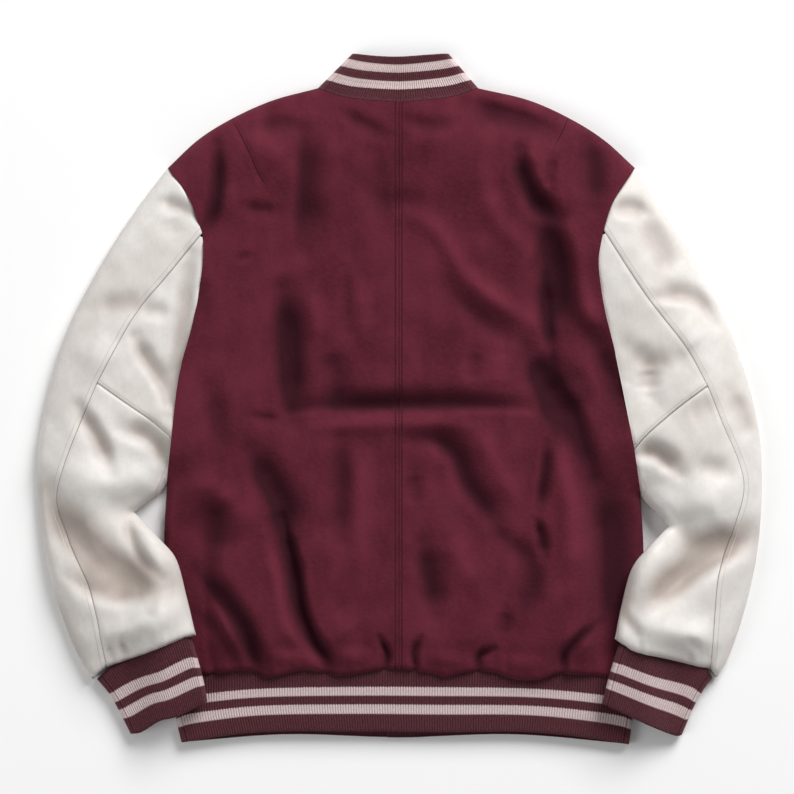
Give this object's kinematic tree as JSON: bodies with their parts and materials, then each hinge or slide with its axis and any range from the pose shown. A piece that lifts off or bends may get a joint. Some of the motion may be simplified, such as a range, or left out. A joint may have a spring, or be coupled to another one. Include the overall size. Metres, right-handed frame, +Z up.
{
  "type": "varsity jacket laid flat",
  "caption": "Maroon wool varsity jacket with off-white leather sleeves and striped rib collar, cuffs and hem, laid flat on its front with the back showing.",
  "frame": {"origin": "on the surface the jacket lies on, at the centre of its outline", "axes": "+X towards the wearer's right, +Y from the hem towards the collar, +Z up through the jacket's back"},
  "size_m": [0.7541, 0.719, 0.0503],
  "materials": {
    "wool": "matt melton wool with a short nap",
    "leather": "soft satin grain",
    "rib_knit": "matt rib knit with pale stripes",
    "snap_metal": "brushed"
  },
  "bodies": {
    "root": {"back_left": "wool", "back_right": "wool", "front_left": "wool", "front_right": "wool", "sleeve_left_outer": "leather", "sleeve_left_under_upper": "leather", "sleeve_left_under_lower": "leather", "sleeve_right_outer": "leather", "sleeve_right_under_upper": "leather", "sleeve_right_under_lower": "leather", "collar_rib": "rib_knit", "hem_rib": "rib_knit", "cuff_left": "rib_knit", "cuff_right": "rib_knit", "snap_1": "snap_metal", "snap_2": "snap_metal", "snap_3": "snap_metal", "snap_4": "snap_metal", "snap_5": "snap_metal", "snap_6": "snap_metal", "snap_7": "snap_metal"}
  },
  "joints": []
}
